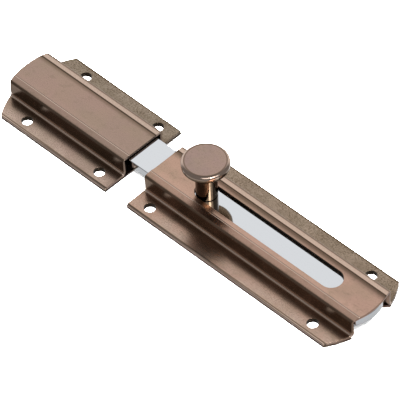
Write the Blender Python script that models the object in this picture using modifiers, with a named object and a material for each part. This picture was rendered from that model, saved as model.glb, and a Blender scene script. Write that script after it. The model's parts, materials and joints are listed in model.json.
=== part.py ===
"""Flat sliding door bolt and its keep, thrown: a slotted sheet cover guides a flat bar by its knob.

X runs along the bar, from the keep to the body. Y runs across it. Z rises from the mounting face.
The origin is on the mounting face, under the middle of the whole object. Lengths are in metres.
"""

import math

import bmesh
import bpy

# Both covers: a folded sheet with a raised channel between two flanges
CHANNEL_WIDTH = 0.0204
FLANGE_WIDTH = 0.0098
CHANNEL_HEIGHT = 0.0096
COVER_SHEET = 0.0010
PLATE_SHEET = 0.0007
TOP_BEND_INSIDE_RADIUS = 0.0002
FOOT_BEND_RADIUS = 0.0007
SHOULDER_WIDTH = 0.0033
SHOULDER_DROP = 0.0003
BODY_LENGTH = 0.1050
KEEP_END_SPACE = 0.0125
DOOR_GAP = 0.0110
END_SAGITTA = 0.0063
NOTCH_DEPTH = 0.0050

# Screw holes through both flanges
SCREW_HOLE_DIAMETER = 0.0044
HOLE_EDGE_INSET = 0.0046
INNER_HOLE_INSET = 0.0076
OUTER_HOLE_INSET = 0.0157

# The bar, its knob and their travel
SLOT_END_INSET = 0.0210
BAR_SIDE_GAP = 0.0017
BAR_THICKNESS = 0.0035
BAR_END_SAGITTA = 0.0020
BAR_REAR_INSET = 0.0001
MOUTH_INSET = 0.0020
KNOB_INSET = 0.0220
STEM_DIAMETER = 0.0083
SLOT_CLEARANCE = 0.0004
KNOB_DIAMETER = 0.0182
KNOB_RISE = 0.0164
CAP_SIDE_HEIGHT = 0.0012
CAP_EDGE_RADIUS = 0.0014
CAP_LOWER_RADIUS = 0.0009
STEM_FILLET = 0.0010
THREAD_DIAMETER = 0.0040
THREAD_REACH = 0.0070
SCREW_HEAD_DIAMETER = 0.0072
SCREW_HEAD_RIM = 0.0002
SCREW_SLOT_WIDTH = 0.0008
SCREW_SLOT_DEPTH = 0.0007

# The leaf spring and its rivet
SPRING_SHEET = 0.0005
SPRING_WIDTH = 0.0080
SPRING_START = 0.0340
SPRING_TAB = 0.0080
SPRING_END_INSET = 0.0190
RIVET_DIAMETER = 0.0024
RIVET_HEAD_DIAMETER = 0.0044
RIVET_HEAD_HEIGHT = 0.0009
RIVET_FLARE = 0.0004

# Clearance between parts that rest on each other, and the overshoot of a cutter
FIT_GAP = 0.0003
OVERSHOOT = 0.0030

# Sizes and places that follow
FLANGE_SPAN = CHANNEL_WIDTH + 2 * FLANGE_WIDTH
SCREW_HOLE_SPACING = FLANGE_SPAN - 2 * HOLE_EDGE_INSET
TOP_BEND_RADIUS = COVER_SHEET + TOP_BEND_INSIDE_RADIUS
BAR_WIDTH = CHANNEL_WIDTH - 2 * COVER_SHEET - 2 * BAR_SIDE_GAP
TRAVEL = BODY_LENGTH - KNOB_INSET - SLOT_END_INSET
KEEP_LENGTH = TRAVEL - MOUTH_INSET - DOOR_GAP + KEEP_END_SPACE
SPRING_SPAN = BODY_LENGTH - SPRING_START - SPRING_TAB - SPRING_END_INSET
KNOB_TOP = CHANNEL_HEIGHT + KNOB_RISE
TOTAL_LENGTH = KEEP_LENGTH + DOOR_GAP + BODY_LENGTH
KEEP_MOUTH = -TOTAL_LENGTH / 2 + KEEP_LENGTH
BODY_MOUTH = KEEP_MOUTH + DOOR_GAP
BODY_REAR = BODY_MOUTH + BODY_LENGTH
KNOB_X = BODY_MOUTH + KNOB_INSET
FLANGE_TOP = PLATE_SHEET + FIT_GAP + COVER_SHEET
BAR_TOP = CHANNEL_HEIGHT - SHOULDER_DROP - COVER_SHEET - FIT_GAP
BAR_BOTTOM = BAR_TOP - BAR_THICKNESS
BAR_REAR = BODY_REAR - BAR_REAR_INSET
BAR_FRONT = BODY_MOUTH + MOUTH_INSET - TRAVEL
STEM_BOTTOM = BAR_TOP + FIT_GAP
SLOT_RADIUS = STEM_DIAMETER / 2 + SLOT_CLEARANCE

ROUND_STEPS = 40
ARC_STEPS = 4


def arc(centre, radius, start, end, steps=ARC_STEPS):
    """Points on an arc between two angles in degrees, both ends included."""
    angles = [math.radians(start + (end - start) * i / steps) for i in range(steps + 1)]
    return [(centre[0] + radius * math.cos(a), centre[1] + radius * math.sin(a)) for a in angles]


def bulge(half_width, chord, sagitta, x, sign, steps=12):
    """Points of a convex end: an arc whose crown is at x and whose sagitta is measured over the chord."""
    radius = (chord**2 / 4 + sagitta**2) / (2 * sagitta)
    rows = [half_width * (2 * i / steps - 1) for i in range(steps + 1)]
    return [(x - sign * (radius - math.sqrt(radius**2 - y**2)), sign * y) for y in rows]


def material(name, colour, metallic, roughness):
    made = bpy.data.materials.new(name)
    made.use_nodes = True
    shader = made.node_tree.nodes["Principled BSDF"]
    shader.inputs["Base Color"].default_value = (*colour, 1)
    shader.inputs["Metallic"].default_value = metallic
    shader.inputs["Roughness"].default_value = roughness
    return made


def place(obj, collection, look=None, parent=None):
    """Links the object, gives it its material and ties it to its parent without moving it."""
    collection.objects.link(obj)
    if look:
        obj.data.materials.append(look)
    if parent:
        obj.parent = parent
        obj.location = [a - b for a, b in zip(obj.location, parent.location)]
    return obj


def flat_mesh(name, outline, bottom, top):
    """A plate: the closed outline in X and Y, filled and extruded between two heights."""
    curve = bpy.data.curves.new(name, "CURVE")
    curve.dimensions = "2D"
    curve.fill_mode = "BOTH"
    curve.extrude = (top - bottom) / 2
    spline = curve.splines.new("POLY")
    spline.points.add(len(outline) - 1)
    for point, (x, y) in zip(spline.points, outline):
        point.co = (x, y, 0, 1)
    spline.use_cyclic_u = True
    drawn = bpy.data.objects.new(name + "_outline", curve)
    bpy.context.scene.collection.objects.link(drawn)
    graph = bpy.context.evaluated_depsgraph_get()
    mesh = bpy.data.meshes.new_from_object(drawn.evaluated_get(graph))
    bpy.data.objects.remove(drawn)
    edit = bmesh.new()
    edit.from_mesh(mesh)
    bmesh.ops.remove_doubles(edit, verts=edit.verts, dist=1e-7)
    bmesh.ops.translate(edit, verts=edit.verts, vec=(0, 0, (top + bottom) / 2))
    bmesh.ops.recalc_face_normals(edit, faces=edit.faces)
    edit.to_mesh(mesh)
    edit.free()
    mesh.name = name
    return mesh


def strip_mesh(name, profile, along, start, end):
    """An open sheet: the profile's points joined in order and drawn out from start to end."""
    mesh = bpy.data.meshes.new(name)
    edit = bmesh.new()
    row = [edit.verts.new(along(start, point)) for point in profile]
    edges = [edit.edges.new(pair) for pair in zip(row, row[1:])]
    drawn = bmesh.ops.extrude_edge_only(edit, edges=edges)["geom"]
    moved = [item for item in drawn if isinstance(item, bmesh.types.BMVert)]
    shift = [b - a for a, b in zip(along(start, (0, 0)), along(end, (0, 0)))]
    bmesh.ops.translate(edit, verts=moved, vec=shift)
    edit.normal_update()
    if sum(face.normal.z for face in edit.faces) < 0:
        bmesh.ops.reverse_faces(edit, faces=edit.faces)
    edit.to_mesh(mesh)
    edit.free()
    return mesh


def solidify(obj, thickness, offset):
    shell = obj.modifiers.new("sheet", "SOLIDIFY")
    shell.thickness = thickness
    shell.offset = offset
    shell.use_even_offset = True


def turned(name, profile, steps=ROUND_STEPS):
    """A turned solid: a profile of radii and heights, from the axis at the top round to the axis below."""
    mesh = bpy.data.meshes.new(name)
    edges = [(i, i + 1) for i in range(len(profile) - 1)]
    mesh.from_pydata([(radius, 0, height) for radius, height in profile], edges, [])
    obj = bpy.data.objects.new(name, mesh)
    lathe = obj.modifiers.new("lathe", "SCREW")
    lathe.steps = steps
    lathe.render_steps = steps
    lathe.use_merge_vertices = True
    lathe.merge_threshold = 1e-6
    lathe.use_smooth_shade = False
    return obj


def cutter(obj):
    bpy.data.collections["cutters"].objects.link(obj)
    obj.hide_render = True
    obj.display_type = "WIRE"
    return obj


def boolean(obj, tool, operation="DIFFERENCE"):
    modifier = obj.modifiers.new(tool.name, "BOOLEAN")
    modifier.operation = operation
    modifier.object = tool


def cover_section():
    """Y and Z of the cover's outer face, from one flange's edge over the channel to the other's."""
    wall = CHANNEL_WIDTH / 2
    foot = (-wall - FOOT_BEND_RADIUS, FLANGE_TOP + FOOT_BEND_RADIUS)
    brow = (-wall + TOP_BEND_RADIUS, CHANNEL_HEIGHT - SHOULDER_DROP - TOP_BEND_RADIUS)
    half = [(-FLANGE_SPAN / 2, FLANGE_TOP)]
    half += arc(foot, FOOT_BEND_RADIUS, -90, 0)
    half += arc(brow, TOP_BEND_RADIUS, 180, 90)
    half.append((-wall + SHOULDER_WIDTH, CHANNEL_HEIGHT))
    return half + [(-y, z) for y, z in reversed(half)]


def outer_arc(x, outward, half_width=FLANGE_SPAN / 2):
    """The convex outer end of a cover, in plan, from one side to the other."""
    return bulge(half_width, FLANGE_SPAN, END_SAGITTA, x, outward)


def cover_mesh_and_blank(name, mouth, outward, length):
    """The folded sheet, longer than needed, and the upright blank that trims its ends in plan."""
    ends = sorted((mouth - outward * OVERSHOOT, mouth + outward * (length + OVERSHOOT)))
    mesh = strip_mesh(name, cover_section(), lambda x, point: (x, *point), *ends)
    side = FLANGE_SPAN / 2 + OVERSHOOT
    blank = outer_arc(mouth + outward * length, outward, side)
    blank += [(mouth, outward * side), (mouth, -outward * side)]
    tool = flat_mesh(name + "_blank", blank, -OVERSHOOT, CHANNEL_HEIGHT + OVERSHOOT)
    return mesh, cutter(bpy.data.objects.new(name + "_blank", tool))


def screw_hole_cutters(name, mouth, outward, length):
    tools = []
    for inset in (INNER_HOLE_INSET, length - OUTER_HOLE_INSET):
        for side in (-1, 1):
            half = SCREW_HOLE_DIAMETER / 2
            profile = [(0, OVERSHOOT), (half, OVERSHOOT), (half, -OVERSHOOT), (0, -OVERSHOOT)]
            tool = cutter(turned(f"{name}_hole_{len(tools)}", profile, 32))
            tool.location = (mouth + outward * inset, side * SCREW_HOLE_SPACING / 2, FLANGE_TOP / 2)
            tools.append(tool)
    return tools


def make_cover(name, mouth, outward, length, look, parts):
    mesh, blank = cover_mesh_and_blank(name, mouth, outward, length)
    obj = place(bpy.data.objects.new(name, mesh), parts, look)
    solidify(obj, COVER_SHEET, -1)
    boolean(obj, blank, "INTERSECT")
    for tool in screw_hole_cutters(name, mouth, outward, length):
        boolean(obj, tool)
    return obj


def make_base_plate(name, mouth, outward, length, holes, look, parts):
    """The flat plate under a cover, cut back between the cover's feet at the outer end."""
    crown = mouth + outward * length
    side = FLANGE_SPAN / 2
    foot = CHANNEL_WIDTH / 2
    rim = [point for point in outer_arc(crown, outward) if abs(point[1]) > foot]
    corner = bulge(foot, FLANGE_SPAN, END_SAGITTA, crown, outward, 1)
    cut = [(x - outward * NOTCH_DEPTH, y - math.copysign(NOTCH_DEPTH, y)) for x, y in corner]
    middle = len(rim) // 2
    outline = rim[:middle] + [corner[0], *cut, corner[1]] + rim[middle:]
    outline += [(mouth, outward * side), (mouth, -outward * side)]
    obj = place(bpy.data.objects.new(name, flat_mesh(name, outline, 0, PLATE_SHEET)), parts, look)
    for tool in holes:
        boolean(obj, tool)
    return obj


def slot_cutter():
    """A round-ended slot along the top, as long as the travel and as wide as the stem and its play."""
    outline = arc((KNOB_X + TRAVEL, 0), SLOT_RADIUS, -90, 90, 16)
    outline += arc((KNOB_X, 0), SLOT_RADIUS, 90, 270, 16)
    mesh = flat_mesh("slot", outline, BAR_BOTTOM, CHANNEL_HEIGHT + OVERSHOOT)
    return cutter(bpy.data.objects.new("slot", mesh))


def screw_profile(grow, top, bottom):
    """The countersunk screw from the end of its thread to its head, grown all round by a clearance."""
    shank = THREAD_DIAMETER / 2 + grow
    head = SCREW_HEAD_DIAMETER / 2 + grow
    taper = (SCREW_HEAD_DIAMETER - THREAD_DIAMETER) / 2
    rim = BAR_BOTTOM + SCREW_HEAD_RIM + grow / 2
    return [(0, top), (shank, top), (shank, rim + taper), (head, rim), (head, bottom), (0, bottom)]


def make_bar(look, parts, slide):
    half = BAR_WIDTH / 2
    outline = bulge(half, BAR_WIDTH, BAR_END_SAGITTA, BAR_REAR, 1)
    outline += bulge(half, BAR_WIDTH, BAR_END_SAGITTA, BAR_FRONT, -1)
    outline = [(x - KNOB_X, y) for x, y in outline]
    obj = bpy.data.objects.new("bolt_bar", flat_mesh("bolt_bar", outline, BAR_BOTTOM, BAR_TOP))
    obj.location = (KNOB_X, 0, 0)
    place(obj, parts, look, slide)
    profile = screw_profile(FIT_GAP, BAR_TOP + OVERSHOOT, BAR_BOTTOM - OVERSHOOT)
    bore = cutter(turned("bar_bore", profile))
    bore.location = (KNOB_X, 0, 0)
    boolean(obj, bore)
    return obj


def knob_profile():
    """Radii and heights of the knob: flat cap with a rounded rim, straight stem, blind bore below."""
    side = KNOB_DIAMETER / 2
    stem = STEM_DIAMETER / 2
    bore = THREAD_DIAMETER / 2 + FIT_GAP
    bore_top = STEM_BOTTOM + THREAD_REACH + FIT_GAP
    upper = (side - CAP_EDGE_RADIUS, KNOB_TOP - CAP_EDGE_RADIUS)
    lower = (side - CAP_LOWER_RADIUS, upper[1] - CAP_SIDE_HEIGHT)
    underside = lower[1] - CAP_LOWER_RADIUS
    profile = [(0, KNOB_TOP)]
    profile += arc(upper, CAP_EDGE_RADIUS, 90, 0, 6)
    profile += arc(lower, CAP_LOWER_RADIUS, 0, -90)
    profile += arc((stem + STEM_FILLET, underside - STEM_FILLET), STEM_FILLET, 90, 180)
    profile += [(stem, STEM_BOTTOM), (bore, STEM_BOTTOM), (bore, bore_top), (0, bore_top)]
    return profile


def make_knob(look, parts, slide):
    obj = turned("knob", knob_profile())
    obj.location = (KNOB_X, 0, 0)
    return place(obj, parts, look, slide)


def make_knob_screw(look, parts, slide):
    obj = turned("knob_screw", screw_profile(0, STEM_BOTTOM + THREAD_REACH, BAR_BOTTOM), 24)
    obj.location = (KNOB_X, 0, 0)
    place(obj, parts, look, slide)
    length = SCREW_HEAD_DIAMETER + OVERSHOOT
    corners = [(-length, -1), (length, -1), (length, 1), (-length, 1)]
    outline = [(x / 2, y * SCREW_SLOT_WIDTH / 2) for x, y in corners]
    mesh = flat_mesh("driver_slot", outline, BAR_BOTTOM - OVERSHOOT, BAR_BOTTOM + SCREW_SLOT_DEPTH)
    slot = cutter(bpy.data.objects.new("driver_slot", mesh))
    slot.location = (KNOB_X, 0, 0)
    boolean(obj, slot)
    return obj


def rivet_places():
    """Where the rivet stands in plan, and the heights of the spring's lower and upper faces at its tab."""
    x = BODY_MOUTH + SPRING_START + SPRING_TAB / 2
    lower = PLATE_SHEET + FIT_GAP
    return x, lower, lower + SPRING_SHEET


def rivet_hole(name):
    x, _, upper = rivet_places()
    radius = RIVET_DIAMETER / 2 + FIT_GAP
    flare = radius + RIVET_FLARE
    top = upper + OVERSHOOT / 2
    profile = [(0, top), (radius, top), (radius, RIVET_FLARE), (flare, 0), (flare, -OVERSHOOT)]
    tool = cutter(turned(name, [*profile, (0, -OVERSHOOT)], 24))
    tool.location.x = x
    return tool


def make_spring(look, parts):
    """A leaf with a flat tab at one end, then one long bow that rises to the bar."""
    _, lower, _ = rivet_places()
    rise = BAR_BOTTOM - FIT_GAP - SPRING_SHEET - lower
    radius = (SPRING_SPAN**2 / 4 + rise**2) / (2 * rise)
    sweep = math.degrees(math.asin(SPRING_SPAN / 2 / radius))
    start = BODY_MOUTH + SPRING_START
    middle = (start + SPRING_TAB + SPRING_SPAN / 2, lower + rise - radius)
    profile = [(start, lower), *arc(middle, radius, 90 + sweep, 90 - sweep, 16)]
    half = SPRING_WIDTH / 2
    mesh = strip_mesh("friction_spring", profile, lambda y, point: (point[0], y, point[1]), -half, half)
    obj = place(bpy.data.objects.new("friction_spring", mesh), parts, look)
    solidify(obj, SPRING_SHEET, 1)
    boolean(obj, rivet_hole("spring_bore"))
    return obj


def make_rivet(look, parts):
    x, _, upper = rivet_places()
    shank = RIVET_DIAMETER / 2
    head = RIVET_HEAD_DIAMETER / 2
    base = upper + FIT_GAP
    radius = (head**2 + RIVET_HEAD_HEIGHT**2) / (2 * RIVET_HEAD_HEIGHT)
    edge = math.degrees(math.acos(head / radius))
    profile = [(0, base + RIVET_HEAD_HEIGHT)]
    profile += arc((0, base + RIVET_HEAD_HEIGHT - radius), radius, 90, edge)[1:]
    profile += [(shank, base), (shank, RIVET_FLARE), (shank + RIVET_FLARE, 0), (0, 0)]
    obj = turned("spring_rivet", profile, 24)
    obj.location.x = x
    return place(obj, parts, look)


def main():
    for obj in list(bpy.data.objects):
        bpy.data.objects.remove(obj, do_unlink=True)
    parts = bpy.data.collections.new("sliding_door_bolt")
    cutters = bpy.data.collections.new("cutters")
    bpy.context.scene.collection.children.link(parts)
    bpy.context.scene.collection.children.link(cutters)

    bronze = material("antique_bronze", (0.36, 0.25, 0.19), 1, 0.32)
    plate = material("bronzed_plate", (0.10, 0.08, 0.065), 1, 0.45)
    bright = material("bright_plating", (0.80, 0.82, 0.84), 1, 0.10)
    spring = material("spring_steel", (0.35, 0.36, 0.38), 1, 0.35)

    slide = bpy.data.objects.new("bolt_slide", None)
    slide.location = (KNOB_X, 0, 0)
    parts.objects.link(slide)

    body_cover = make_cover("body_cover", BODY_MOUTH, 1, BODY_LENGTH, bronze, parts)
    boolean(body_cover, slot_cutter())
    body_holes = [mod.object for mod in body_cover.modifiers if "_hole_" in mod.name]
    body_holes.append(rivet_hole("plate_bore"))
    make_base_plate("body_base_plate", BODY_MOUTH, 1, BODY_LENGTH, body_holes, plate, parts)

    keep_cover = make_cover("keep_cover", KEEP_MOUTH, -1, KEEP_LENGTH, bronze, parts)
    keep_holes = [mod.object for mod in keep_cover.modifiers if "_hole_" in mod.name]
    make_base_plate("keep_base_plate", KEEP_MOUTH, -1, KEEP_LENGTH, keep_holes, plate, parts)

    make_bar(bright, parts, slide)
    make_knob(bronze, parts, slide)
    make_knob_screw(spring, parts, slide)
    make_spring(spring, parts)
    make_rivet(spring, parts)


main()
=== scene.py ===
"""Looks for the flat sliding door bolt and its keep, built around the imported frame.

X runs along the bar, from the keep to the body. Y runs across it. Z rises from the mounting face.
Lengths are in metres.
"""

import json
import math

import bpy
from mathutils import Matrix, Vector


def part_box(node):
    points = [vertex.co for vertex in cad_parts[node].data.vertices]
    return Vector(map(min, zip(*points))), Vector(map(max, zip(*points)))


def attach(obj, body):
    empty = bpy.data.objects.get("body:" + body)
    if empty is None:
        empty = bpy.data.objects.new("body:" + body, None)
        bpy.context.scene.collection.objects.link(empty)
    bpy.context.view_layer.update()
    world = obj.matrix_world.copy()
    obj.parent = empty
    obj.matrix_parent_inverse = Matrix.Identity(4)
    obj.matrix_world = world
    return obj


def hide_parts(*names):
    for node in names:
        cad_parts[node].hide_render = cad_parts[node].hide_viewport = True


bl_info = {
    "name": "Sliding Door Bolt",
    "version": (1, 0, 0),
    "blender": (4, 5, 0),
    "location": "View3D > Sidebar > Door Bolt",
    "description": "Builds the covers, plates, bar, knob, spring and screw of a flat sliding door bolt",
    "category": "Object",
}

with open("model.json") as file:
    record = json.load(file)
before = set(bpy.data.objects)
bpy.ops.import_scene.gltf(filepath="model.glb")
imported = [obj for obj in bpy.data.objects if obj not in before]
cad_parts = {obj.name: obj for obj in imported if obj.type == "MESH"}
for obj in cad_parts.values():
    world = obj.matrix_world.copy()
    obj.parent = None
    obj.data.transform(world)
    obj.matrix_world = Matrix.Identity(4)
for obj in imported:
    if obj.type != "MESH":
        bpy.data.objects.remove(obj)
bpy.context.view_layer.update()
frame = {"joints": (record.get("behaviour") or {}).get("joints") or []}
BODY_LOW, BODY_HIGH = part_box("body_cover")
KEEP_LOW, KEEP_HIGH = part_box("keep_cover")
BAR_LOW, BAR_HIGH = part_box("bolt_bar")
KNOB_LOW, KNOB_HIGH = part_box("knob")
PLATE_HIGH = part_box("body_base_plate")[1]
SPRING_LOW, SPRING_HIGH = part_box("friction_spring")
RIVET_LOW, RIVET_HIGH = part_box("spring_rivet")
RIVET_X = (RIVET_LOW.x + RIVET_HIGH.x) / 2
SCREW_LOW, SCREW_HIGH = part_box("knob_screw")
KNOB_X = (KNOB_LOW.x + KNOB_HIGH.x) / 2
TRAVEL = frame["joints"][0]["range_m"][1]

# each half's name, its mouth, the crown of its curved end, and the way along X that this end faces
HALVES = (("body", BODY_LOW.x, BODY_HIGH.x, 1), ("keep", KEEP_HIGH.x, KEEP_LOW.x, -1))

CUT_PAST = 0.003
MERGE = 1e-6
NEAR = 1e-5
FIT_GAP = 0.0003
SLOT_TOOL_LOW = 0.006
SLOT_TOOL_HIGH = 0.014
FACE_RING = 0.55
SHARP_ANGLE = 40
SMOOTH_ANGLE = 50
FLATNESS_WEIGHT = 80
UPRIGHT_NORMAL = 0.6

# how many steps or sides make up each curve
FOOT_STEPS = 10
BEND_STEPS = 12
CREASE_STEPS = 8
DISH_STEPS = 8
RIM_STEPS = 8
END_SIDES = 512
HOLE_SIDES = 64
RIVET_SIDES = 64
SLOT_SIDES = 96
SCREW_SIDES = 96
KNOB_SIDES = 128
CAP_STEPS = 14
UNDER_STEPS = 10
FOOT_EDGE_STEPS = 4
BAR_END_STEPS = 32
BOW_STEPS = 64
DOME_STEPS = 16


def size(name, description, default):
    """A length among the sizes."""
    return bpy.props.FloatProperty(
        name=name, description=description, default=default, min=0, unit="LENGTH", precision=5
    )


def tint(name, description, default):
    """A colour among the finishes."""
    return bpy.props.FloatVectorProperty(
        name=name, description=description, default=default, size=3, min=0, max=1, subtype="COLOR"
    )


class BoltSizes(bpy.types.PropertyGroup):
    """Sizes of the covers, bar, knob, screw, spring and rivet"""

    channel_width: size("Channel Width", "Outside of the raised channel", 0.0204)
    sheet: size("Cover Sheet", "Thickness of the covers", 0.0010)
    top_bend: size("Top Bend", "Outer radius of the bend at the top", 0.0009)
    foot_bend: size("Foot Bend", "Radius of the bend at the foot", 0.0007)
    shoulder_width: size("Shoulder Width", "Width of the sloping strip beside each wall", 0.0033)
    shoulder_drop: size("Shoulder Drop", "Fall of that strip to the wall", 0.0002)
    body_dish: size("Body Dish", "Depth of the body's top between its creases", 0.00030)
    keep_dish: size("Keep Dish", "Depth of the keep's top between its creases", 0.00008)
    dish_width: size("Dish Width", "Width of the slope beside each crease", 0.0030)
    crease_width: size("Crease Width", "Width of the pressed line between top and strip", 0.0006)
    crease_depth: size("Crease Depth", "Depth of that pressed line", 0.00008)
    end_sagitta: size("End Sagitta", "Depth of the curved outer ends", 0.0063)
    hole_diameter: size("Hole Diameter", "Screw holes in the flanges", 0.0044)
    hole_edge: size("Hole Edge Inset", "Hole centre to the flange's edge", 0.0046)
    inner_hole: size("Inner Hole Inset", "Hole centre to the mouth", 0.0076)
    outer_hole: size("Outer Hole Inset", "Hole centre to the crown of the curved end", 0.0157)
    notch_depth: size("Notch Depth", "Cut in the base plate between the cover's feet", 0.0050)
    stem_diameter: size("Stem Diameter", "Stem of the knob", 0.0083)
    slot_clearance: size("Slot Clearance", "Play of the stem in its slot", 0.0004)
    bar_sagitta: size("Bar End Sagitta", "Depth of the bar's curved ends", 0.0020)
    bar_edge: size("Bar Edge", "Rounding of the bar's edges", 0.00024)
    cap_side: size("Cap Side", "Straight side of the knob's cap", 0.00085)
    cap_edge: size("Cap Edge", "Upper edge radius of the cap", 0.00125)
    cap_lower: size("Cap Lower Edge", "Lower edge radius of the cap", 0.0014)
    stem_fillet: size("Stem Fillet", "Fillet between cap and stem", 0.0010)
    thread_diameter: size("Thread Diameter", "Shank of the knob's screw", 0.0040)
    head_diameter: size("Screw Head Diameter", "Countersunk head of the knob's screw", 0.0072)
    head_rim: size("Screw Head Rim", "Straight rim of that head", 0.0002)
    driver_width: size("Driver Slot Width", "Width of the slot in that head", 0.0008)
    driver_depth: size("Driver Slot Depth", "Depth of the slot in that head", 0.0007)
    spring_sheet: size("Spring Sheet", "Thickness of the leaf spring", 0.0005)
    spring_tab: size("Spring Tab", "Flat end of the leaf spring", 0.0080)
    spring_span: size("Spring Span", "Chord of the leaf spring's bow", 0.0440)
    rivet_diameter: size("Rivet Diameter", "Shank of the spring's rivet", 0.0024)
    rivet_rise: size("Rivet Rise", "Height of the rivet's dome", 0.0009)
    rivet_flare: size("Rivet Flare", "Spread of the rivet's foot", 0.0004)
    rim: size("Rolled Rim", "Rounding of the covers' outer top edges", 0.00075)
    burr: size("Broken Edge", "Rounding of every other cut edge", 0.00010)


class BoltColours(bpy.types.PropertyGroup):
    """Colours of the finishes"""

    body_bronze: tint("Body Bronze", "Rubbed bronze of the body cover", (0.56, 0.362, 0.270))
    keep_bronze: tint("Keep Bronze", "Rubbed bronze of the keep cover", (0.41, 0.288, 0.230))
    knob_bronze: tint("Knob Bronze", "Rubbed bronze of the knob", (0.37, 0.260, 0.225))
    olive: tint("Olive Tone", "Second tone that mottles the bronze", (0.38, 0.295, 0.20))
    # painted highlight tone on the front flanges, the feet, the rear strips, the front creases, the front
    # rims and the knob's ring
    worn: tint("Worn Metal", "Bare tone on the strips and edges", (0.64, 0.49, 0.40))
    ash: tint("Ash Tone", "Grey-green tone of the rear flanges", (0.42, 0.375, 0.29))
    rose: tint("Rose Tone", "Third tone that mottles the bronze", (0.50, 0.31, 0.26))
    # dark tone for the flanges' speckles and rear darkening, and for painted shade on the walls, bends,
    # creases, rims, hole walls and the knob
    patina: tint("Patina", "Dark tone left in the bends", (0.125, 0.082, 0.046))
    plating: tint("Bright Plating", "Plating of the bar", (0.70, 0.72, 0.745))
    steel: tint("Spring Steel", "Spring, rivet and screw", (0.42, 0.42, 0.43))
    floor: tint("Floor", "Pale floor", (0.93, 0.93, 0.93))


def sizes():
    return bpy.context.scene.bolt_sizes


def colours():
    return bpy.context.scene.bolt_colours


# ---------------------------------------------------------------- modelling


def arc(centre, radius, start, end, steps):
    """Points along an arc, from one angle to another in degrees."""
    angles = [math.radians(start + (end - start) * i / steps) for i in range(steps + 1)]
    return [(centre[0] + radius * math.cos(a), centre[1] + radius * math.sin(a)) for a in angles]


def sagitta_radius(half_chord, rise):
    """Radius of the circle that rises this far over a chord."""
    return (half_chord**2 + rise**2) / (2 * rise)


def pick(obj):
    """Makes a piece the only one selected, and active."""
    bpy.ops.object.select_all(action="DESELECT")
    obj.select_set(True)
    bpy.context.view_layer.objects.active = obj


def edit(obj):
    pick(obj)
    bpy.ops.object.mode_set(mode="EDIT")


def leave():
    bpy.ops.object.mode_set(mode="OBJECT")


def draw_line(name, points, closed=False):
    """A line drawn by extruding one vertex from point to point."""
    bpy.ops.object.select_all(action="DESELECT")
    bpy.ops.mesh.primitive_plane_add(size=0.001, location=(0, 0, 0))
    obj = bpy.context.active_object
    obj.name = name
    bpy.ops.object.mode_set(mode="EDIT")
    bpy.ops.mesh.select_mode(type="VERT")
    bpy.ops.mesh.select_all(action="SELECT")
    bpy.ops.mesh.merge(type="CENTER")
    bpy.ops.transform.translate(value=points[0])
    for here, there in zip(points, points[1:]):
        step = Vector(there) - Vector(here)
        bpy.ops.mesh.extrude_region_move(TRANSFORM_OT_translate={"value": step})
    bpy.ops.mesh.select_all(action="SELECT")
    if closed:
        bpy.ops.mesh.edge_face_add()
    return obj


def draw_out(step):
    """Draws the face in hand out into a solid."""
    bpy.ops.mesh.extrude_region_move(TRANSFORM_OT_translate={"value": step})
    bpy.ops.mesh.select_all(action="SELECT")
    bpy.ops.mesh.normals_make_consistent(inside=False)


def plate_of(name, outline, bottom, top):
    """A flat piece or cutter, from its outline in X and Y and its two heights."""
    obj = draw_line(name, [(x, y, bottom) for x, y in outline], closed=True)
    draw_out((0, 0, top - bottom))
    leave()
    return obj


def post(name, x, y, radius, low, high, sides):
    """A round cutter, turned half a side so that its extremes are flats."""
    bpy.ops.object.select_all(action="DESELECT")
    bpy.ops.mesh.primitive_cylinder_add(
        vertices=sides,
        radius=radius,
        depth=high - low,
        location=(x, y, (low + high) / 2),
        rotation=(0, 0, math.pi / sides),
    )
    obj = bpy.context.active_object
    obj.name = name
    bpy.ops.object.transform_apply(location=True, rotation=True, scale=True)
    return obj


def applied(obj, kind, **settings):
    """Adds a modifier to a piece and applies it."""
    pick(obj)
    modifier = obj.modifiers.new(kind.lower(), kind)
    for key, value in settings.items():
        setattr(modifier, key, value)
    bpy.ops.object.modifier_apply(modifier=modifier.name)


def cut(obj, tool):
    """Takes a cutter's shape out of a piece, then removes the cutter."""
    applied(obj, "BOOLEAN", operation="DIFFERENCE", solver="EXACT", object=tool)
    bpy.data.objects.remove(tool, do_unlink=True)


def bevel_where(obj, width, segments, test):
    """Bevels the edges that pass a test on their two ends."""
    edit(obj)
    bpy.ops.mesh.select_mode(type="EDGE")
    bpy.ops.mesh.select_all(action="DESELECT")
    leave()
    points = obj.data.vertices
    for line in obj.data.edges:
        line.select = test(points[line.vertices[0]].co, points[line.vertices[1]].co)
    bpy.ops.object.mode_set(mode="EDIT")
    bpy.ops.mesh.bevel(offset=width, segments=segments, affect="EDGES", clamp_overlap=False)
    leave()


def clean(obj):
    """Closes seams and poles and turns every face outward."""
    edit(obj)
    bpy.ops.mesh.select_all(action="SELECT")
    bpy.ops.mesh.remove_doubles(threshold=MERGE)
    bpy.ops.mesh.dissolve_degenerate(threshold=MERGE)
    bpy.ops.mesh.normals_make_consistent(inside=False)
    leave()


def turned(name, profile, x, sides):
    """A piece or a cutter turned about an upright axis, from its radii and heights."""
    obj = draw_line(name, [(x + r, 0, z) for r, z in profile])
    centre, up = (x, 0, 0), (0, 0, 1)
    bpy.ops.mesh.spin(steps=sides, angle=2 * math.pi, center=centre, axis=up, use_auto_merge=True)
    leave()
    clean(obj)
    return obj


def smooth_finish(obj, burr):
    """Breaks the sharp edges, then shades the piece so that flats stay flat."""
    clean(obj)
    if burr:
        applied(
            obj,
            "BEVEL",
            width=burr,
            segments=2,
            limit_method="ANGLE",
            angle_limit=math.radians(SHARP_ANGLE),
            use_clamp_overlap=False,
        )
    bpy.ops.object.shade_smooth_by_angle(angle=math.radians(SMOOTH_ANGLE))
    applied(obj, "WEIGHTED_NORMAL", keep_sharp=True, weight=FLATNESS_WEIGHT)


def flange_top(s):
    """Height of the upper face of a cover's flanges."""
    return PLATE_HIGH.z + FIT_GAP + s.sheet


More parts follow.
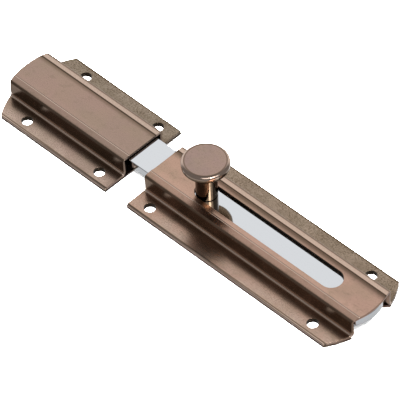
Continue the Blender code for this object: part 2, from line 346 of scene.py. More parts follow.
def cover_half(s, dish, depth, pressed):
    """Y and Z of half a cover's section, this far below its outer face, from flange to middle."""
    wall = s.channel_width / 2
    flange = flange_top(s)
    side = BODY_HIGH.z - s.shoulder_drop
    top = BODY_HIGH.z - depth
    crease = -wall + s.shoulder_width
    lip = crease + s.crease_width / 2
    half = [(BODY_LOW.y, flange - depth)]
    half += arc((-wall - s.foot_bend, flange + s.foot_bend), s.foot_bend + depth, -90, 0, FOOT_STEPS)
    tilt = math.degrees(math.atan2(s.shoulder_drop, s.shoulder_width - s.top_bend - s.crease_width / 2))
    bend = max(s.top_bend - depth, s.burr)
    half += arc((-wall + s.top_bend, side - s.top_bend), bend, 180, 90 + tilt, BEND_STEPS)
    if pressed:
        for i in range(CREASE_STEPS + 1):
            t = 2 * i / CREASE_STEPS - 1
            fall = s.crease_depth * (1 + math.cos(math.pi * t)) / 2
            half.append((crease + t * s.crease_width / 2, top - fall))
    else:
        half.append((lip, top))
    for i in range(1, DISH_STEPS + 1):
        t = i / DISH_STEPS
        half.append((lip + t * s.dish_width, top - dish * (1 - (1 - t) ** 2)))
    return half


def cover_section(s, dish):
    """The closed outline of the folded sheet, with a line pressed beside each shoulder."""
    outer = cover_half(s, dish, 0, True)
    inner = cover_half(s, dish, s.sheet, False)
    outer += [(-y, z) for y, z in reversed(outer)]
    inner += [(-y, z) for y, z in reversed(inner)]
    return outer + inner[::-1]


def end_block(s, crown, outward):
    """What lies outside the curved end of a cover or plate: a block less a disc."""
    half = (BODY_HIGH.y - BODY_LOW.y) / 2
    radius = sagitta_radius(half, s.end_sagitta)
    far = crown + outward * CUT_PAST
    near = crown - outward * (s.end_sagitta + CUT_PAST)
    side = half + CUT_PAST
    low, high = -CUT_PAST, BODY_HIGH.z + CUT_PAST
    block = plate_of("end_block", [(near, -side), (far, -side), (far, side), (near, side)], low, high)
    centre = crown - outward * radius
    cut(block, post("end_disc", centre, 0, radius, low - CUT_PAST, high + CUT_PAST, END_SIDES))
    return block


def notch_tool(s, crown, outward):
    """A cutter for the notch in a base plate's curved end, between the feet of the cover's walls."""
    foot = s.channel_width / 2
    radius = sagitta_radius((BODY_HIGH.y - BODY_LOW.y) / 2, s.end_sagitta)
    corner = crown - outward * (radius - math.sqrt(radius**2 - foot**2))
    floor_x = corner - outward * s.notch_depth
    inner = foot - s.notch_depth
    slope = CUT_PAST * 3
    outline = [(corner + outward * slope, -foot - slope), (floor_x, -inner), (floor_x, inner)]
    outline.append((corner + outward * slope, foot + slope))
    return plate_of("notch", outline, -CUT_PAST, CUT_PAST)


def hole_places(s, mouth, crown, outward):
    """X and Y of the four screw holes in one half."""
    rows = (mouth + outward * s.inner_hole, crown - outward * s.outer_hole)
    return [(x, side * (BODY_HIGH.y - s.hole_edge)) for x in rows for side in (-1, 1)]


def drill(obj, s, places):
    for x, y in places:
        cut(obj, post("drill", x, y, s.hole_diameter / 2, -CUT_PAST, BODY_HIGH.z, HOLE_SIDES))


def make_cover(s, name, mouth, crown, outward, dish):
    """A folded cover with its curved end and its screw holes."""
    past = crown + outward * CUT_PAST
    obj = draw_line(name, [(mouth, y, z) for y, z in cover_section(s, dish)], closed=True)
    draw_out((past - mouth, 0, 0))
    leave()
    cut(obj, end_block(s, crown, outward))
    drill(obj, s, hole_places(s, mouth, crown, outward))
    return obj


def rim_test(height):
    """Picks the long outer edges above this height."""
    side = BODY_HIGH.y

    def on_rim(a, b):
        return abs(abs(a.y) - side) < NEAR and abs(abs(b.y) - side) < NEAR and min(a.z, b.z) > height

    return on_rim


def slot_tool(s):
    """A round cutter at the knob's stem, with one half moved on by the bolt's travel."""
    radius = s.stem_diameter / 2 + s.slot_clearance
    tool = post("slot", KNOB_X, 0, radius, SLOT_TOOL_LOW, SLOT_TOOL_HIGH, SLOT_SIDES)
    edit(tool)
    bpy.ops.mesh.select_mode(type="VERT")
    bpy.ops.mesh.select_all(action="DESELECT")
    leave()
    for point in tool.data.vertices:
        point.select = point.co.x > KNOB_X
    bpy.ops.object.mode_set(mode="EDIT")
    bpy.ops.transform.translate(value=(TRAVEL, 0, 0))
    leave()
    return tool


def screw_profile(s, grow, top, bottom):
    """Radii and heights of the countersunk screw, grown all round by a clearance."""
    shank = s.thread_diameter / 2 + grow
    head = s.head_diameter / 2 + grow
    rim = SCREW_LOW.z + s.head_rim + grow / 2
    return [(0, top), (shank, top), (shank, rim + head - shank), (head, rim), (head, bottom), (0, bottom)]


def rivet_bore(s):
    """A cutter for the rivet's hole, flared at the foot like the rivet."""
    radius = s.rivet_diameter / 2 + FIT_GAP
    top, low = RIVET_HIGH.z + CUT_PAST, -CUT_PAST
    flare = radius + s.rivet_flare
    profile = [(0, top), (radius, top), (radius, s.rivet_flare), (flare, 0), (flare, low), (0, low)]
    return turned("rivet_bore", profile, RIVET_X, RIVET_SIDES)


def spring_outline(s):
    """X and Z of the leaf from its side: a flat tab, then one long bow."""
    low = SPRING_LOW.z
    rise = SPRING_HIGH.z - low - s.spring_sheet
    radius = sagitta_radius(s.spring_span / 2, rise)
    sweep = math.degrees(math.asin(s.spring_span / 2 / radius))
    start = SPRING_LOW.x
    middle = (start + s.spring_tab + s.spring_span / 2, low + rise - radius)
    under = arc(middle, radius, 90 + sweep, 90 - sweep, BOW_STEPS)
    over = arc(middle, radius + s.spring_sheet, 90 + sweep, 90 - sweep, BOW_STEPS)[1:]
    bend = start + s.spring_tab - s.spring_sheet * math.tan(math.radians(sweep / 2))
    over = [(start, low + s.spring_sheet), (bend, low + s.spring_sheet), *over]
    return [(start, low), *under, *over[::-1]]


# ---------------------------------------------------------------- materials


# the Mix node's factor, its two colours and its colour output, among the sockets of all its types
MIX_INPUTS = (0, 6, 7)
MIX_OUTPUT = 2


class Value:
    """A shader socket that takes part in sums: an expression adds its Math nodes."""

    def __init__(self, finish, socket):
        self.finish, self.socket = finish, socket

    def _math(self, operation, *values):
        return self.finish.node("ShaderNodeMath", {"operation": operation}, *values)[0]

    def __add__(self, other):
        return self._math("ADD", self, other)

    def __sub__(self, other):
        return self._math("SUBTRACT", self, other)

    def __rsub__(self, other):
        return self._math("SUBTRACT", other, self)

    def __mul__(self, other):
        return self._math("MULTIPLY", self, other)

    def __abs__(self):
        return self._math("ABSOLUTE", self)

    def smooth(self, low, high):
        """0 below low, 1 above high, and eased in between."""
        settings = {"interpolation_type": "SMOOTHSTEP"}
        return self.finish.node("ShaderNodeMapRange", settings, self, low, high, 0.0, 1.0)[0]

    def past(self, start, reach):
        """0 before a reach that is measured from the start, 1 after it, and eased in between."""
        return self.smooth(start + reach[0], start + reach[1])


class Finish:
    """A procedural material on Object coordinates."""

    def __init__(self, name, metallic, roughness):
        self.material = bpy.data.materials.new(name)
        self.material.use_nodes = True
        self.nodes = self.material.node_tree.nodes
        self.shader = self.nodes["Principled BSDF"]
        self.shader.inputs["Metallic"].default_value = metallic
        self.shader.inputs["Roughness"].default_value = roughness
        self.place = self.nodes.new("ShaderNodeTexCoord").outputs["Object"]

    def put(self, socket, value):
        """Links a value to a socket, or sets it there as a constant."""
        if isinstance(value, Value):
            value = value.socket
        if isinstance(value, bpy.types.NodeSocket):
            self.material.node_tree.links.new(value, socket)
        else:
            socket.default_value = value

    def node(self, kind, settings, *values, **named):
        """Adds a node, with inputs given in order or by name, and returns its outputs."""
        made = self.nodes.new(kind)
        for key, value in settings.items():
            setattr(made, key, value)
        for socket, value in zip(made.inputs, values):
            self.put(socket, value)
        for key, value in named.items():
            self.put(made.inputs[key], value)
        return [Value(self, out) for out in made.outputs]

    def axes(self):
        return self.node("ShaderNodeSeparateXYZ", {}, self.place)

    def noise(self, stretch, scale, detail, roughness=0.55):
        """A noise from 0 to 1, finer along the axes that are stretched more."""
        spot = self.node("ShaderNodeMapping", {}, self.place, Scale=stretch)[0]
        settings = {"Vector": spot, "Scale": scale, "Detail": detail, "Roughness": roughness}
        return self.node("ShaderNodeTexNoise", {}, **settings)[0]

    def blend(self, mask, first, second):
        """The first colour where the mask is 0, and the second where it is 1."""
        made = self.nodes.new("ShaderNodeMix")
        made.data_type = "RGBA"
        for index, value in zip(MIX_INPUTS, (mask, first, second)):
            if isinstance(value, tuple):
                value = (*value, 1.0)
            self.put(made.inputs[index], value)
        return Value(self, made.outputs[MIX_OUTPUT])

    def colour(self, value):
        self.put(self.shader.inputs["Base Color"], value)

    def rough(self, value):
        self.put(self.shader.inputs["Roughness"], value)

    def bump(self, height, strength, distance):
        normal = self.node("ShaderNodeBump", {}, Strength=strength, Distance=distance, Height=height)[0]
        self.put(self.shader.inputs["Normal"], normal)


# noise scales of the marks on the metal: the higher, the finer
CLOUD_SCALE = 110
DRIFT_SCALE = 38
STAIN_SCALE = 300
BLOTCH_SCALE = 120
BRUSH_SCALE = 12
HAZE_SCALE = 14
GRAIN_SCALE = 2400
FLECK_SCALE = 1500

# heights of the relief that those marks give the surface
BRUSH_RELIEF = 0.00004
HAZE_RELIEF = 0.00003
FLECK_RELIEF = 0.00005

# heights between which a cover's finish changes: flange, foot, wall, top, and the flange's rolled edge
FLANGE_END = (0.0024, 0.0034)
FOOT_END = (0.0030, 0.0040)
WALL_START = (0.0026, 0.0036)
WALL_END = (0.0092, 0.0102)
TOP_START = (0.0085, 0.0097)
EDGE_START = (0.0010, 0.0013)

# reaches across a cover, outward from the channel's wall
WALL_SHADE_REACH = (0.0004, 0.0056)
FRONT_LIGHT_REACH = (0.0030, 0.0080)
WALL_REACH = (-0.0016, -0.0002)
REAR_BEND_REACH = (-0.0014, -0.0009)
FRONT_BEND_REACH = (-0.0007, -0.0002)
FOOT_LINE = 0.0003
FOOT_LINE_FADE = (0.0002, 0.0006)

# outward from the crease
STRIP_REACH = (0.0002, 0.0006)
BAND_REACH = (-0.0021, -0.0001)
CREASE_FADE = (0.0001, 0.0004)

# outward from the start of the rolled edge
RIM_SHADE_REACH = (-0.0004, 0.0001)
ROLLED_REACH = (0.0003, 0.0005)

# on the knob: outward from the rim of its flat face, and up from the foot of its rounded edge
HIGHLIGHT_RING_REACH = (0.0002, 0.0005)
FACE_LINE_FADE = (0.0001, 0.0007)
SIDE_REACH = (-0.0006, 0.0003)


def scaled(colour, factor):
    """A colour made darker or lighter."""
    return tuple(min(1.0, channel * factor) for channel in colour)


def bronze(name, colour, c, roughness=0.24, stretch=(10, 190, 90), lines=0.10):
    """Rubbed bronze, mottled, brushed and finely pitted. Gives the finish, its tone and its grain."""
    made = Finish(name, 1.0, roughness)
    cloud = made.noise((1, 1, 1), CLOUD_SCALE, 3).smooth(0.40, 0.64)
    drift = made.noise((1, 1.6, 1), DRIFT_SCALE, 2).smooth(0.38, 0.66)
    brush = made.noise(stretch, BRUSH_SCALE, 3, 0.5)
    grain = made.noise((1, 1, 1), GRAIN_SCALE, 2, 0.6)
    tone = made.blend(cloud * 0.34, colour, tuple(c.olive))
    tone = made.blend(drift * 0.26, tone, tuple(c.rose))
    stain = made.noise((0.7, 1, 1), STAIN_SCALE, 4, 0.65).smooth(0.54, 0.70)
    tone = made.blend(stain * 0.28, tone, scaled(c.olive, 0.62))
    tone = made.blend((1 - brush) * lines, tone, scaled(colour, 0.55))
    tone = made.blend(grain.smooth(0.50, 0.70) * 0.24, tone, scaled(colour, 0.5))
    made.colour(tone)
    made.rough(brush * lines * 0.6 + grain * 0.06 + (roughness - 0.07))
    made.bump(brush * 0.5 + grain * 0.5, 0.05 + lines * 0.3, BRUSH_RELIEF)
    return made, tone, grain


def cover_bronze(name, colour, c):
    """The same bronze with speckled flanges, greyer and darker at the back, painted shade on the walls,
    bends and creases and beside the walls, and painted highlights on the feet, strips, creases, front
    flanges and rims.
    """
    made, tone, grain = bronze(name, colour, c, lines=0.13)
    s = sizes()
    wall = s.channel_width / 2
    crease = wall - s.shoulder_width
    _, y, z = made.axes()
    across = abs(y)
    back = y.smooth(-0.001, 0.001)
    flange = 1 - z.smooth(*FLANGE_END)
    top = z.smooth(*TOP_START)
    patina, worn = tuple(c.patina), tuple(c.worn)

    # flanges: painted shade beside the wall, painted light on the front flange's outer part, speckles,
    # and greyer and darker at the back
    blotch = made.noise((1, 1, 1), BLOTCH_SCALE, 3).smooth(0.30, 0.70)
    near_wall = 1 - across.past(wall, WALL_SHADE_REACH)
    speckle = grain.smooth(0.46, 0.62)
    tone = made.blend(flange * (back * 0.50 + 0.06), tone, tuple(c.ash))
    # painted light on the outer part of the front flange
    outer = across.past(wall, FRONT_LIGHT_REACH) * (1 - back)
    tone = made.blend(flange * outer * (blotch * 0.55 + 0.10), tone, worn)
    # painted shade on the flange beside the wall
    tone = made.blend(flange * near_wall * (blotch * 0.30 + 0.18), tone, patina)
    tone = made.blend(flange * speckle * (back * 0.60 + blotch * 0.22 + 0.08), tone, patina)
    tone = made.blend(flange * back * (blotch * 0.26 + 0.16), tone, patina)
    # painted highlight line along the foot of each wall
    foot = (1 - abs(across - (wall + FOOT_LINE)).smooth(*FOOT_LINE_FADE)) * (1 - z.smooth(*FOOT_END))
    tone = made.blend(foot * 0.9, tone, scaled(worn, 1.3))

    # walls: painted shade all over
    side = z.smooth(*WALL_START) * (1 - z.smooth(*WALL_END)) * across.past(wall, WALL_REACH)
    tone = made.blend(side * (blotch * 0.22 + 0.52), tone, patina)

    # strips, creases and bends: a painted highlight on the rear strip, painted shade on the top bends, a
    # band of painted shade beside the rear crease, a painted dark line on the rear crease and a painted
    # highlight on the front one
    strip = across.past(crease, STRIP_REACH) * top
    # painted highlight on the rear strip
    tone = made.blend(strip * back * (1 - speckle * 0.35) * 0.85, tone, worn)
    # painted shade on the top bends, stronger at the back
    bend = across.past(wall, REAR_BEND_REACH) * back + across.past(wall, FRONT_BEND_REACH) * (1 - back)
    tone = made.blend(bend * (back * 0.35 + 0.45) * top, tone, patina)
    # painted shade band on the top beside the rear crease
    crease_shade_band = across.past(crease, BAND_REACH) * (1 - strip) * top * back
    tone = made.blend(crease_shade_band * 0.62, tone, patina)
    # painted dark line on the rear crease, painted highlight line on the front crease
    line = (1 - abs(across - crease).smooth(*CREASE_FADE)) * top
    tone = made.blend(line * back * 0.9, tone, scaled(patina, 0.5))
    tone = made.blend(line * (1 - back) * 0.8, tone, worn)

    # the flanges' long edges: a painted shade line, then the rolled edge with a painted highlight at the
    # front and painted shade at the back
    edge = BODY_HIGH.y - s.rim
    rolled = across.past(edge, ROLLED_REACH)
    rim_shade_line = across.past(edge, RIM_SHADE_REACH) * (1 - rolled)
    tone = made.blend(rim_shade_line * flange * 0.8, tone, patina)
    rolled_rim = rolled * flange * z.smooth(*EDGE_START)
    # painted highlight on the front rolled edge, painted shade on the rear one
    tone = made.blend(rolled_rim * (1 - back) * 0.85, tone, scaled(worn, 1.2))
    made.colour(made.blend(rolled_rim * back * 0.7, tone, patina))
    return made.material


def knob_bronze(c):
    """Bronze with a painted highlight ring on the knob's rounded edge, a painted dark line round its
    face, and painted shade below the edge that stands also for patina under the cap.
    """
    made, tone, _ = bronze("knob_bronze", tuple(c.knob_bronze), c, 0.17, (8, 8, 40), 0.04)
    s = sizes()
    x, y, z = made.axes()
    square = (x - KNOB_X) * (x - KNOB_X) + y * y
    face = KNOB_HIGH.x - KNOB_X - s.cap_edge
    edge = KNOB_HIGH.z - s.cap_edge
    highlight_ring = square.smooth(*((face + reach) ** 2 for reach in HIGHLIGHT_RING_REACH))
    # painted highlight ring on the rounded edge
    tone = made.blend(highlight_ring * 0.75, tone, tuple(c.worn))
    # painted dark line round the flat face
    line = 1 - abs(square - face**2).smooth(*(fade * face for fade in FACE_LINE_FADE))
    tone = made.blend(line * z.smooth(edge, KNOB_HIGH.z) * 0.7, tone, tuple(c.patina))
    # painted shade on the cap's side, underside and stem, standing also for patina under the cap
    shade_and_patina_below = 1 - z.past(edge, SIDE_REACH)
    made.colour(made.blend(shade_and_patina_below * 0.93, tone, tuple(c.patina)))
    return made.material


def shaded_plate_bronze(name, colour, c):
    """The bronze of a cover, made much darker as painted shade and duller, for the base plate below it.
    """
    made, _, _ = bronze(name, scaled(colour, 0.26), c, 0.38)
    return made.material


def bright_plating(c):
    """Mirror-like plating with a faint haze along the bar."""
    made = Finish("bright_plating", 1.0, 0.05)
    haze = made.noise((4, 60, 60), HAZE_SCALE, 3)
    made.colour(made.blend(haze * 0.25, tuple(c.plating), scaled(c.plating, 0.90)))
    made.rough(haze * 0.05 + 0.02)
    made.bump(haze, 0.03, HAZE_RELIEF)
    return made.material


def spring_steel(c):
    """Plain steel with fine drawn lines."""
    made = Finish("spring_steel", 1.0, 0.32)
    lines = made.noise((20, 220, 60), BRUSH_SCALE, 3)
    made.colour(made.blend(lines * 0.5, tuple(c.steel), scaled(c.steel, 0.6)))
    made.rough(lines * 0.18 + 0.24)
    made.bump(lines, 0.1, BRUSH_RELIEF)
    return made.material


def cut_edge_shade(name, c):
    """Near-black painted shade on the walls of the holes and slot, standing also for oxide on the cut
    edges.
    """
    made = Finish(name, 1.0, 0.4)
    fleck = made.noise((1, 1, 1), FLECK_SCALE, 2)
    made.colour(made.blend(fleck.smooth(0.5, 0.7) * 0.5, scaled(c.patina, 0.25), scaled(c.patina, 0.8)))
    made.rough(fleck * 0.2 + 0.3)
    made.bump(fleck, 0.2, FLECK_RELIEF)
    return made.material


def pierced_edge(s, holes):
    """Picks the faces of the holes' walls and, above the bar, of the slot's wall."""
    hole, slot = s.hole_diameter / 2, s.stem_diameter / 2 + s.slot_clearance
    margin = s.burr * 2

    def test(face):
        x, y, _ = face.center
        if abs(face.normal.z) > UPRIGHT_NORMAL:
            return False
        in_hole = any(math.hypot(x - hx, y - hy) < hole + margin for hx, hy in holes)
        along = max(KNOB_X, min(KNOB_X + TRAVEL, x))
        in_slot = math.hypot(x - along, y) < slot + margin and face.center.z > BAR_HIGH.z
        return in_hole or in_slot

    return test


def check_fit(obj, node):
    """Stops the build if a piece has grown out of the node that it stands for."""
    low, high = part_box(node)
    for point in obj.data.vertices:
        for here, least, most in zip(point.co, low, high):
            if not least - FIT_GAP < here < most + FIT_GAP:
                raise RuntimeError(obj.name + " reaches outside " + node)


def blacken(obj, material, test):
    """Gives the faces that pass a test a second material."""
    obj.data.materials.append(material)
    for face in obj.data.polygons:
        if test(face):
            face.material_index = 1


def dress(obj, material, body, node):
    """Gives a piece its finish and its body, checks that it fits inside the node that it stands for, and
    hides that node.
    """
    obj.data.materials.clear()
    obj.data.materials.append(material)
    check_fit(obj, node)
    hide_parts(node)
    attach(obj, body)


# ---------------------------------------------------------------- operators


class DOORBOLT_OT_covers(bpy.types.Operator):
    """Folds, trims and drills the two covers, and slots the body's"""

    bl_idname = "doorbolt.covers"
    bl_label = "Build Covers"
    bl_options = {"REGISTER", "UNDO"}

    def execute(self, context):
        s, c = sizes(), colours()
        for part, mouth, crown, outward in HALVES:
            dish, colour = getattr(s, part + "_dish"), tuple(getattr(c, part + "_bronze"))
            obj = make_cover(s, part + "_cover_sheet", mouth, crown, outward, dish)
            if part == "body":
                cut(obj, slot_tool(s))
            bevel_where(obj, s.rim, RIM_STEPS, rim_test(flange_top(s) - NEAR))
            smooth_finish(obj, s.burr)
            finish = cover_bronze(part + "_bronze", colour, c)
            dress(obj, finish, "housing", part + "_cover")
            walls = pierced_edge(s, hole_places(s, mouth, crown, outward))
            blacken(obj, cut_edge_shade(part + "_cut_edge", c), walls)
        return {"FINISHED"}


class DOORBOLT_OT_plates(bpy.types.Operator):
    """Cuts the two base plates, notched at their outer ends"""

    bl_idname = "doorbolt.plates"
    bl_label = "Build Base Plates"
    bl_options = {"REGISTER", "UNDO"}

    def execute(self, context):
        s, c = sizes(), colours()
        low, high = BODY_LOW.y, BODY_HIGH.y
        for part, mouth, crown, outward in HALVES:
            past = crown + outward * CUT_PAST
            outline = [(mouth, low), (past, low), (past, high), (mouth, high)]
            obj = plate_of(part + "_plate_sheet", outline, 0, PLATE_HIGH.z)
            cut(obj, end_block(s, crown, outward))
            cut(obj, notch_tool(s, crown, outward))
            holes = hole_places(s, mouth, crown, outward)
            drill(obj, s, holes)
            if part == "body":
                cut(obj, rivet_bore(s))
            smooth_finish(obj, s.burr)
            finish = shaded_plate_bronze(part + "_plate_bronze", getattr(c, part + "_bronze"), c)
            dress(obj, finish, "housing", part + "_base_plate")
            blacken(obj, cut_edge_shade(part + "_plate_edge", c), pierced_edge(s, holes))
        return {"FINISHED"}


class DOORBOLT_OT_bar(bpy.types.Operator):
    """Cuts the flat bar with its round ends"""

    bl_idname = "doorbolt.bar"
    bl_label = "Build Bar"
    bl_options = {"REGISTER", "UNDO"}

    def execute(self, context):
        s, c = sizes(), colours()
        radius = sagitta_radius(BAR_HIGH.y, s.bar_sagitta)
        sweep = math.degrees(math.asin(BAR_HIGH.y / radius))
        outline = arc((BAR_HIGH.x - radius, 0), radius, -sweep, sweep, BAR_END_STEPS)
        outline += arc((BAR_LOW.x + radius, 0), radius, 180 - sweep, 180 + sweep, BAR_END_STEPS)
        obj = plate_of("bolt_bar_flat", outline, BAR_LOW.z, BAR_HIGH.z)
        bore = screw_profile(s, FIT_GAP, BAR_HIGH.z + CUT_PAST, BAR_LOW.z - CUT_PAST)
        cut(obj, turned("screw_bore", bore, KNOB_X, SCREW_SIDES))
        smooth_finish(obj, s.bar_edge)
        dress(obj, bright_plating(c), "bolt", "bolt_bar")
        return {"FINISHED"}


class DOORBOLT_OT_knob(bpy.types.Operator):
    """Turns the mushroom knob"""

    bl_idname = "doorbolt.knob"
    bl_label = "Build Knob"
    bl_options = {"REGISTER", "UNDO"}

    def execute(self, context):
        s, c = sizes(), colours()
        side = KNOB_HIGH.x - KNOB_X
        stem = s.stem_diameter / 2
        top, bottom = KNOB_HIGH.z, KNOB_LOW.z
        upper = (side - s.cap_edge, top - s.cap_edge)
        lower = (side - s.cap_lower, upper[1] - s.cap_side)
        under = lower[1] - s.cap_lower
        fillet = (stem + s.stem_fillet, under - s.stem_fillet)
        profile = [(0, top), (side * FACE_RING, top)]
        profile += arc(upper, s.cap_edge, 90, 0, CAP_STEPS)
        profile += arc(lower, s.cap_lower, 0, -90, UNDER_STEPS)
        profile += arc(fillet, s.stem_fillet, 90, 180, UNDER_STEPS)
        profile += arc((stem - s.burr, bottom + s.burr), s.burr, 0, -90, FOOT_EDGE_STEPS)
        bore, bore_top = s.thread_diameter / 2 + FIT_GAP, SCREW_HIGH.z + FIT_GAP
        profile += [(bore, bottom), (bore, bore_top), (0, bore_top)]
        obj = turned("knob_turned", profile, KNOB_X, KNOB_SIDES)
        smooth_finish(obj, 0)
        dress(obj, knob_bronze(c), "bolt", "knob")
        return {"FINISHED"}


class DOORBOLT_OT_spring(bpy.types.Operator):
    """Bows the leaf spring and turns its rivet"""

    bl_idname = "doorbolt.spring"
    bl_label = "Build Spring and Rivet"
    bl_options = {"REGISTER", "UNDO"}

    def execute(self, context):
        s = sizes()
        steel = spring_steel(colours())
        outline = [(x, SPRING_LOW.y, z) for x, z in spring_outline(s)]
        leaf = draw_line("spring_leaf", outline, closed=True)
        draw_out((0, SPRING_HIGH.y - SPRING_LOW.y, 0))
        leave()
        cut(leaf, rivet_bore(s))
        smooth_finish(leaf, s.burr / 2)
        dress(leaf, steel, "housing", "friction_spring")

        shank, head = s.rivet_diameter / 2, RIVET_HIGH.x - RIVET_X
        top, base = RIVET_HIGH.z, RIVET_HIGH.z - s.rivet_rise
        radius = sagitta_radius(head, s.rivet_rise)
        rim_angle = math.degrees(math.acos(head / radius))
        profile = arc((0, top - radius), radius, 90, rim_angle, DOME_STEPS)
        profile += [(shank, base), (shank, s.rivet_flare), (shank + s.rivet_flare, 0), (0, 0)]
        rivet = turned("rivet_turned", profile, RIVET_X, RIVET_SIDES)
        smooth_finish(rivet, 0)
        dress(rivet, steel, "housing", "spring_rivet")
        return {"FINISHED"}


class DOORBOLT_OT_screw(bpy.types.Operator):
    """Turns the knob's countersunk screw and saws its driver slot"""

    bl_idname = "doorbolt.screw"
    bl_label = "Build Knob Screw"
    bl_options = {"REGISTER", "UNDO"}

    def execute(self, context):
        s = sizes()
        profile = screw_profile(s, 0, SCREW_HIGH.z, SCREW_LOW.z)
        screw = turned("screw_turned", profile, KNOB_X, SCREW_SIDES)
        reach, half = s.head_diameter / 2 + CUT_PAST, s.driver_width / 2
        corners = [(-reach, -half), (reach, -half), (reach, half), (-reach, half)]
        outline = [(KNOB_X + x, y) for x, y in corners]
        under, bed = SCREW_LOW.z - CUT_PAST, SCREW_LOW.z + s.driver_depth
        cut(screw, plate_of("driver_slot", outline, under, bed))
        smooth_finish(screw, s.burr / 2)
        dress(screw, spring_steel(colours()), "bolt", "knob_screw")
        return {"FINISHED"}


# ---------------------------------------------------------------- stage


CAMERA_PLACE = (0.74525, -0.71329, 1.14087)
CAMERA_AZIMUTH = -43.82
CAMERA_ELEVATION = 47.88
CAMERA_ROLL = -2.61
CAMERA_LENS = 377.3
CAMERA_SENSOR = 36.0
CAMERA_REACH = 20

FLOOR_SIZE = 6
FLOOR_DEPTH = 0.0002
ROOM_LIGHT = 0.22
WINDOW_LIGHT = 1.0
WINDOW_AZIMUTH = 135
WINDOW_EDGE = 0.32
WINDOW_CORE = 0.70
GLOW_LIGHT = 0.44
GLOW_EDGE = -0.50
GLOW_CORE = -0.72

# name, place, width, height, power, and whether metal reflects it
LIGHTS = (
    ("overhead", (0, 0, 1.9), 2.6, 2.6, 480, False),
    ("front_box", (1.08, -0.50, 1.06), 1.7, 0.9, 8, True),
    ("front_lamp", (1.02, -0.31, 1.00), 0.34, 0.30, 4.8, True),
)


def make_camera():
    """A camera that looks the way its azimuth, elevation and roll say."""
    a, e, r = (math.radians(v) for v in (CAMERA_AZIMUTH, CAMERA_ELEVATION, CAMERA_ROLL))
    back = Vector((math.cos(e) * math.cos(a), math.cos(e) * math.sin(a), math.sin(e)))
    right = Vector((-math.sin(a), math.cos(a), 0))
    up = back.cross(right)
    right, up = right * math.cos(r) + up * math.sin(r), up * math.cos(r) - right * math.sin(r)
    data = bpy.data.cameras.new("camera")
    data.sensor_width = CAMERA_SENSOR
    data.lens = CAMERA_LENS
    data.clip_end = CAMERA_REACH
    obj = bpy.data.objects.new("camera", data)
    turn = Matrix((right, up, back)).transposed().to_4x4()
    obj.matrix_world = Matrix.Translation(CAMERA_PLACE) @ turn
    bpy.context.scene.collection.objects.link(obj)
    bpy.context.scene.camera = obj


def eased(nodes, links, socket, edge, core, low, high):
    """A level that rises from low at the edge to high at the core."""
    level = nodes.new("ShaderNodeMapRange")
    level.interpolation_type = "SMOOTHSTEP"
    for index, value in enumerate((edge, core, low, high), 1):
        level.inputs[index].default_value = value
    links.new(socket, level.inputs[0])
    return level.outputs[0]


def studio_world():
    """A dim room with one broad soft window at the back left, and a glow from below for the metal."""
    world = bpy.data.worlds.new("studio")
    world.use_nodes = True
    nodes, links = world.node_tree.nodes, world.node_tree.links
    azimuth = math.radians(WINDOW_AZIMUTH)
    along = nodes.new("ShaderNodeVectorMath")
    along.operation = "DOT_PRODUCT"
    along.inputs[1].default_value = (math.cos(azimuth), math.sin(azimuth), 0)
    direction = nodes.new("ShaderNodeTexCoord").outputs["Generated"]
    links.new(direction, along.inputs[0])
    rise = nodes.new("ShaderNodeSeparateXYZ")
    links.new(direction, rise.inputs[0])
    toward, down = along.outputs["Value"], rise.outputs["Z"]
    window = eased(nodes, links, toward, WINDOW_EDGE, WINDOW_CORE, ROOM_LIGHT, WINDOW_LIGHT)
    glow = eased(nodes, links, down, GLOW_EDGE, GLOW_CORE, 0.0, GLOW_LIGHT)
    total = nodes.new("ShaderNodeMath")
    links.new(window, total.inputs[0])
    links.new(glow, total.inputs[1])
    background = nodes["Background"]
    background.inputs["Color"].default_value = (1, 1, 1, 1)
    links.new(total.outputs[0], background.inputs["Strength"])
    return world


def soft_light(name, place, width, height, power, reflected):
    """A soft box aimed at the bolt's middle. One that metal doesn't reflect only lights the floor."""
    data = bpy.data.lights.new(name, "AREA")
    data.shape = "RECTANGLE"
    data.size, data.size_y, data.energy = width, height, power
    obj = bpy.data.objects.new(name, data)
    obj.location = place
    obj.rotation_euler = (-Vector(place)).to_track_quat("-Z", "Y").to_euler()
    obj.visible_glossy = reflected
    bpy.context.scene.collection.objects.link(obj)


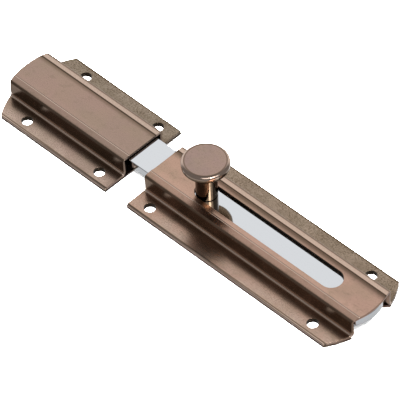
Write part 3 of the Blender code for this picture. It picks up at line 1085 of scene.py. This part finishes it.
class DOORBOLT_OT_stage(bpy.types.Operator):
    """Sets the floor, the soft lights and the camera"""

    bl_idname = "doorbolt.stage"
    bl_label = "Set Stage"
    bl_options = {"REGISTER", "UNDO"}

    def execute(self, context):
        bpy.ops.object.select_all(action="DESELECT")
        bpy.ops.mesh.primitive_plane_add(size=FLOOR_SIZE, location=(0, 0, -FLOOR_DEPTH))
        floor = context.active_object
        floor.name = "floor"
        made = Finish("pale_floor", 0.0, 0.9)
        made.colour((*colours().floor, 1.0))
        floor.data.materials.append(made.material)
        floor.visible_glossy = False
        context.scene.world = studio_world()
        for row in LIGHTS:
            soft_light(*row)
        make_camera()
        context.scene.view_settings.view_transform = "Standard"
        return {"FINISHED"}


class DOORBOLT_PT_panel(bpy.types.Panel):
    """Lists the door bolt's pieces, sizes and colours"""

    bl_idname = "DOORBOLT_PT_panel"
    bl_label = "Door Bolt"
    bl_space_type = "VIEW_3D"
    bl_region_type = "UI"
    bl_category = "Door Bolt"

    def draw(self, context):
        for operator in OPERATORS:
            self.layout.operator(operator.bl_idname)
        for group in (context.scene.bolt_sizes, context.scene.bolt_colours):
            box = self.layout.box()
            for name in group.__annotations__:
                box.prop(group, name)


OPERATORS = (
    DOORBOLT_OT_covers,
    DOORBOLT_OT_plates,
    DOORBOLT_OT_bar,
    DOORBOLT_OT_knob,
    DOORBOLT_OT_spring,
    DOORBOLT_OT_screw,
    DOORBOLT_OT_stage,
)
CLASSES = (BoltSizes, BoltColours, *OPERATORS, DOORBOLT_PT_panel)


def register():
    for item in CLASSES:
        bpy.utils.register_class(item)
    bpy.types.Scene.bolt_sizes = bpy.props.PointerProperty(type=BoltSizes)
    bpy.types.Scene.bolt_colours = bpy.props.PointerProperty(type=BoltColours)


def unregister():
    del bpy.types.Scene.bolt_colours
    del bpy.types.Scene.bolt_sizes
    for item in reversed(CLASSES):
        bpy.utils.unregister_class(item)


def main():
    register()
    bpy.ops.doorbolt.covers()
    bpy.ops.doorbolt.plates()
    bpy.ops.doorbolt.bar()
    bpy.ops.doorbolt.knob()
    bpy.ops.doorbolt.spring()
    bpy.ops.doorbolt.screw()
    bpy.ops.doorbolt.stage()


if __name__ == "__main__":
    main()
